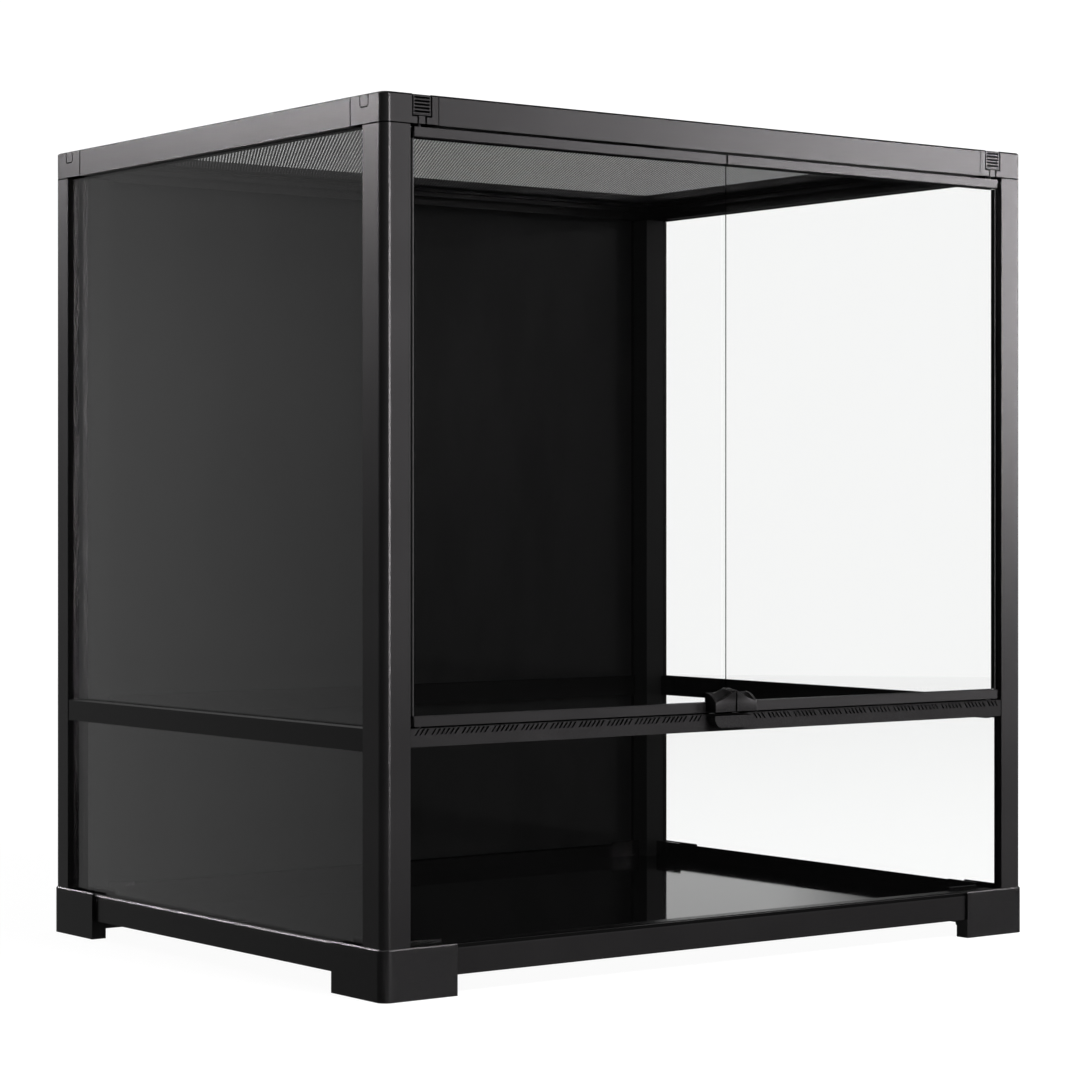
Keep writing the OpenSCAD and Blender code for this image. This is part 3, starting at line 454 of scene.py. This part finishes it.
def handle(name, side):
    """A door handle with a dished finger pull: its front rim climbs to the door gap, and its back rim
    stands higher."""
    lo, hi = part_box(f"door_handle_{side}")
    glass_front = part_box(f"door_glass_{side}")[0].y
    rail_lo, rail_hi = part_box(f"door_bottom_rail_{side}")
    sign = -1 if side == "left" else 1
    mm = 0.001
    inner, outer = min(abs(lo.x), abs(hi.x)), max(abs(lo.x), abs(hi.x))
    front, back, rail_front = lo.y, glass_front - 0.06 * mm, rail_lo.y - 0.06 * mm
    bottom, top, step = rail_lo.z + 0.5 * mm, hi.z, rail_hi.z + 0.06 * mm
    length, depth = outer - inner, back - front

    def section(u):
        """The outline at u metres from the door gap, from the bottom of the front face round over the top."""
        d = u / length
        z_front = bottom + (7.8 + 7.9 * (1 - d) ** 1.55) * mm
        z_back = top - 3.2 * mm * smooth(u, 0.5 * mm, 12 * mm)
        dish = 2.4 * mm * smooth(u, 2.0 * mm, 6 * mm) * (1 - smooth(u, length - 4.4 * mm, length - 2.2 * mm))
        crown = 1.5 * mm * smooth(u, length - 3.2 * mm, length - 2.0 * mm)
        r = 0.7 * mm
        loop = [(front + 0.5 * mm, bottom), (front + 0.15 * mm, bottom + 0.15 * mm), (front, bottom + 0.5 * mm)]
        for k in range(5):
            a = math.pi / 8 * k
            loop.append((front + r - r * math.cos(a), z_front - r + r * math.sin(a)))
        for k in range(1, 14):
            t = k / 14
            y = front + r + (depth - r - 1.2 * mm) * t
            bow = math.sin(math.pi * t)
            z = z_front + (z_back - z_front) * t - dish * bow + crown * bow**0.8
            loop.append((y, min(z, top)))
        loop.append((back - 1.2 * mm, z_back))
        for k in range(5):
            a = math.pi / 8 * k
            y, z = back - 0.5 * mm + 0.5 * mm * math.sin(a), z_back - 0.5 * mm + 0.5 * mm * math.cos(a)
            loop.append((y, z))
        loop += [(back, step), (rail_front, step)]
        loop += [(rail_front, bottom + 0.3 * mm), (rail_front - 0.3 * mm, bottom)]
        return np.array(loop)

    stations = [(0.0, 0.35), (0.08, 0.16), (0.2, 0.05), (0.4, 0.0)]
    stations += [(v, 0.0) for v in (0.9, 1.4, 1.9)] + [(v, 0.0) for v in np.linspace(2.4, length / mm - 4.6, 20)]
    stations += [(length / mm - v, 0.0) for v in (4.2, 3.8, 3.4, 3.0, 2.7, 2.3, 2.0, 1.6, 1.2, 0.8, 0.4)]
    stations += [(length / mm - 0.2, 0.05), (length / mm - 0.08, 0.16), (length / mm, 0.35)]
    bm = bmesh.new()
    rings = []
    for u, inset in stations:
        loop = section(u * mm)
        if inset:
            ahead, behind = np.roll(loop, -1, 0), np.roll(loop, 1, 0)
            run = ahead - behind
            inward = np.stack([run[:, 1], -run[:, 0]], 1) / np.linalg.norm(run, axis=1)[:, None]
            loop = loop + inward * inset * mm
        rings.append([bm.verts.new((sign * (inner + u * mm), y, z)) for y, z in loop])
    for a, b in zip(rings, rings[1:]):
        for i in range(len(a)):
            j = (i + 1) % len(a)
            bm.faces.new((a[i], a[j], b[j], b[i]))
    for ring in (rings[0], rings[-1]):
        bm.faces.new(ring)
    bmesh.ops.recalc_face_normals(bm, faces=bm.faces)
    for f in bm.faces:
        f.smooth = True
    mesh = bpy.data.meshes.new(name)
    bm.to_mesh(mesh)
    bm.free()
    mesh.set_sharp_from_angle(angle=math.radians(38))
    mesh.materials.append(handle_black)
    mesh.materials.append(handle_face_lit)
    mesh.materials.append(dish_shaded_black)
    # Front faces take the lighter copy (painted light), the dish the darker copy (painted shade), and the rims
    # keep the glossy black.
    for p in mesh.polygons:
        u = abs(p.center.x) - inner
        outer_rim = sign > 0 and u > length - 2.3 * mm
        back_rim = p.center.y > back - 1.3 * mm and u < length - 3.5 * mm
        front_rim = p.center.y < front + 0.8 * mm and u < 9 * mm
        rim = u < 2.4 * mm or outer_rim or back_rim or front_rim
        p.material_index = 1 if p.normal.y < -0.9 else 0 if rim else 2
    return link(name, mesh)


handles = []
for s in SIDES:
    piece = handle(f"handle_{s}", s)
    handles.append(piece)
    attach(piece, f"{s}_door")
    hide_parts(f"door_handle_{s}")


# ---------------------------------------------------------------- dark guard strip behind the vent slots, also painted shade in them
def slot_shade_baffle(name, spans, y, z_low, z_high, thick):
    """A thin dark strip that hangs behind the slots, with a rolled lower edge and air below it: a guard, and a
    dark sheet that puts painted shade in the slots.
    """
    bm = bmesh.new()
    r = thick / 2
    loop = [(y, z_high), (y, z_low + r)]
    loop += [(y + r - r * math.cos(a), z_low + r - r * math.sin(a)) for a in np.linspace(0, math.pi, 7)[1:-1]]
    loop += [(y + thick, z_low + r), (y + thick, z_high)]
    for a, b in spans:
        ends = [[bm.verts.new((x, v[0], v[1])) for v in loop] for x in (a, b)]
        for i in range(len(loop)):
            j = (i + 1) % len(loop)
            bm.faces.new((ends[0][i], ends[0][j], ends[1][j], ends[1][i]))
        for end in ends:
            bm.faces.new(end)
    bmesh.ops.recalc_face_normals(bm, faces=bm.faces)
    mesh = bpy.data.meshes.new(name)
    bm.to_mesh(mesh)
    bm.free()
    mesh.materials.append(screen_black)
    return link(name, mesh)


vent_lo, vent_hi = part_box("mid_rail_front")
slot_low, slot_high = vent_hi.z - 0.00495, vent_hi.z - 0.00162
strip = slot_shade_baffle(
    "vent_slot_shade_baffle",
    spans=[(-0.2551, -0.0156), (0.0156, 0.2551)],
    y=vent_lo.y + 0.0026,
    z_low=slot_low,
    z_high=slot_high,
    thick=0.0006,
)
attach(strip, "cabinet")

# ---------------------------------------------------------------- floor, light and camera
WHITE = 1.075  # the background as the camera sees it
FILL = 0.22  # the even light on the object
FLOOR_TONE = 0.12


def studio_floor():
    mesh = bpy.data.meshes.new("studio_floor")
    n = 96
    verts = [(4 * math.cos(i * 2 * math.pi / n), 4 * math.sin(i * 2 * math.pi / n), 0) for i in range(n)]
    mesh.from_pydata(verts, [], [tuple(range(n))])
    m, g, out = material("studio_floor")
    rays = g.node("ShaderNodeLightPath").outputs
    mirrored = g.math("MAXIMUM", rays["Is Glossy Ray"], rays["Is Transmission Ray"])
    seen = g.math("MAXIMUM", rays["Is Camera Ray"], mirrored)
    pale = g.node("ShaderNodeBsdfDiffuse", {"Color": (FLOOR_TONE, FLOOR_TONE, FLOOR_TONE)})
    strength = g.math("MULTIPLY", seen, WHITE - FLOOR_TONE)
    glow = g.node("ShaderNodeEmission", {"Color": (1.0, 1.0, 1.0), "Strength": strength})
    both = g.node("ShaderNodeAddShader")
    g.put(both.inputs[0], pale.outputs[0])
    g.put(both.inputs[1], glow.outputs[0])
    g.put(out.inputs["Surface"], both.outputs[0])
    mesh.materials.append(m)
    o = link("studio_floor", mesh)
    o.location.z = -0.0003
    o.visible_glossy = False


def studio_world():
    """White behind the object, soft washes and darker flags in what its surfaces mirror, and an even fill."""
    world = bpy.data.worlds.new("studio")
    scene.world = world
    world.use_nodes = True
    world.cycles.sampling_method = "NONE"
    g = Graph(world.node_tree)
    out = g.node("ShaderNodeOutputWorld")
    rays = g.node("ShaderNodeLightPath").outputs
    aim = g.split(g.node("ShaderNodeTexCoord").outputs["Generated"])
    turn = g.math("MULTIPLY", g.math("ARCTAN2", aim[1], aim[0]), 180 / math.pi)
    rise = g.math("MULTIPLY", g.math("ARCSINE", aim[2]), 180 / math.pi)
    left_turn = g.both(g.ramp(turn, 115.5, 126.5, 0.18, 0.03, False), g.ramp(turn, 80, 100))
    left_wash = g.both(left_turn, g.both(g.ramp(rise, -40, -12), g.ramp(rise, 2, 7, 1.0, 0.85)))
    rear_wash = g.both(g.window(turn, 46, 49, 72, 80), g.window(rise, 1.5, 4, 16, 30))
    sky = g.math("MULTIPLY", g.window(rise, 10, 30, 42, 58), 0.35)
    level = g.math("ADD", left_wash, g.math("MULTIPLY", rear_wash, 0.7))
    level = g.math("ADD", level, g.math("ADD", sky, 0.04))
    seen = g.math("MAXIMUM", rays["Is Camera Ray"], rays["Is Transmission Ray"])
    glossy = rays["Is Glossy Ray"]
    fill = g.math("MULTIPLY", g.math("SUBTRACT", 1.0, glossy), FILL)
    strength = g.math("ADD", g.math("MULTIPLY", glossy, level), fill)
    unseen = g.math("MULTIPLY", strength, g.math("SUBTRACT", 1.0, seen))
    strength = g.math("ADD", unseen, g.math("MULTIPLY", seen, WHITE))
    back = g.node("ShaderNodeBackground", {"Color": (1.0, 1.0, 1.0), "Strength": strength})
    g.put(out.inputs["Surface"], back.outputs[0])


studio_floor()
studio_world()

GLASS = [
    "glass_left_upper",
    "glass_left_lower",
    "glass_right_upper",
    "glass_right_lower",
    "glass_front_lower",
    "door_glass_left",
    "door_glass_right",
]
LOW = [n for n in nodes if n.startswith(("base_rail", "foot_"))]
LOW += ["mid_rail_left", "mid_rail_right", "mid_rail_rear"]


def group(name, members, state):
    """Objects that a lamp leaves out, or the only ones that it lights."""
    made = bpy.data.collections.new(name)
    for member in members:
        made.objects.link(member)
    for member in made.collection_objects:
        member.light_linking.link_state = state
    return made


no_glass = group("no_glass", [nodes[n] for n in GLASS], "EXCLUDE")
no_low = group("no_low", [nodes[n] for n in GLASS + LOW], "EXCLUDE")
no_flat = group("no_flat", [nodes[n] for n in GLASS + LOW + ["mid_rail_front", "latch_plate"]], "EXCLUDE")
only_low = group("only_low", [nodes[n] for n in LOW if n.startswith(("base_rail_left", "foot_"))], "INCLUDE")
only_rear_post = group("only_rear_post", [nodes["post_rear_left"]], "INCLUDE")
only_handles = group("only_handles", handles, "INCLUDE")


def way(turn, rise):
    t, r = math.radians(turn), math.radians(rise)
    return Vector((math.cos(t) * math.cos(r), math.sin(t) * math.cos(r), math.sin(r)))


SOFT_BOX_AWAY, SOFT_BOX_TINT = 40.0, (1.0, 0.955, 0.985)


def soft_box(name, near, far, height, level, lit):
    """A far soft box that only gives gloss. Near and far are its lower corners, as azimuth and elevation; the
    height is in degrees, and a level of 1 is white."""
    a, b = way(*near) * SOFT_BOX_AWAY, way(*far) * SOFT_BOX_AWAY
    across = (b - a).normalized()
    middle = (a + b) / 2
    towards = (-(middle - across * middle.dot(across))).normalized()
    up = across.cross(towards)
    if up.z < 0:
        up = -up
    tall = 2 * math.tan(math.radians(height / 2)) * SOFT_BOX_AWAY
    data = bpy.data.lights.new(name, "AREA")
    data.shape, data.size, data.size_y = "RECTANGLE", (b - a).length, tall
    data.energy = level * 4 * data.size * data.size_y
    data.color = SOFT_BOX_TINT
    data.cycles.use_multiple_importance_sampling = False
    o = bpy.data.objects.new(name, data)
    scene.collection.objects.link(o)
    z = -towards
    x = up.cross(z).normalized()
    o.matrix_world = Matrix.Translation(middle + up * tall / 2) @ Matrix((x, up, z)).transposed().to_4x4()
    o.visible_camera = False
    o.visible_diffuse = False
    o.visible_transmission = False
    o.light_linking.receiver_collection = lit
    return o


soft_box("left_box", (126, 8.6), (92, 12.5), 26, 11.4, no_low)
soft_box("right_box", (-48.8, 1.6), (-8, 1.6), 36, 6.6, no_flat)
soft_box("corner_strip", (-86, -20), (-65, -20), 34, 7.5, no_glass)
soft_box("edge_box", (116, 18), (58, 18), 24, 4.0, only_low)
soft_box("foot_edge_box", (-35, 36), (35, 36), 26, 2.2, only_low)
soft_box("rim_box", (86, 2), (20, 2), 50, 22, only_handles)
soft_box("side_glint", (-126, -20), (-110, -20), 40, 7, only_rear_post)


LAMP_AIM = Vector((0, 0, 0.3))


def soft_lamp(name, at, size, power):
    """A soft lamp that lights the object's own colours and gives no gloss."""
    data = bpy.data.lights.new(name, "AREA")
    data.shape, data.size, data.size_y, data.energy = "RECTANGLE", size[0], size[1], power
    o = bpy.data.objects.new(name, data)
    scene.collection.objects.link(o)
    o.location = at
    o.rotation_euler = (LAMP_AIM - Vector(at)).to_track_quat("-Z", "Y").to_euler()
    o.visible_camera = False
    o.visible_glossy = False
    return o


soft_lamp("front_light", (0.9, -2.6, 2.6), (2.2, 1.4), 240)
soft_lamp("top_light", (0.0, 0.3, 3.2), (2.5, 2.5), 20)

# The camera stands level, at the photograph's viewing angle.
cam = bpy.data.cameras.new("camera")
cam.lens, cam.sensor_width, cam.shift_y = 103.73, 36, -0.02065
cam.clip_start, cam.clip_end = 0.1, 50
eye = bpy.data.objects.new("camera", cam)
scene.collection.objects.link(eye)
eye.location = (-1.46612, -1.94898, 0.3246)
eye.rotation_euler = (math.pi / 2, 0, -math.atan2(0.6009, 0.7993))
scene.camera = eye
scene.view_settings.view_transform = "Standard"
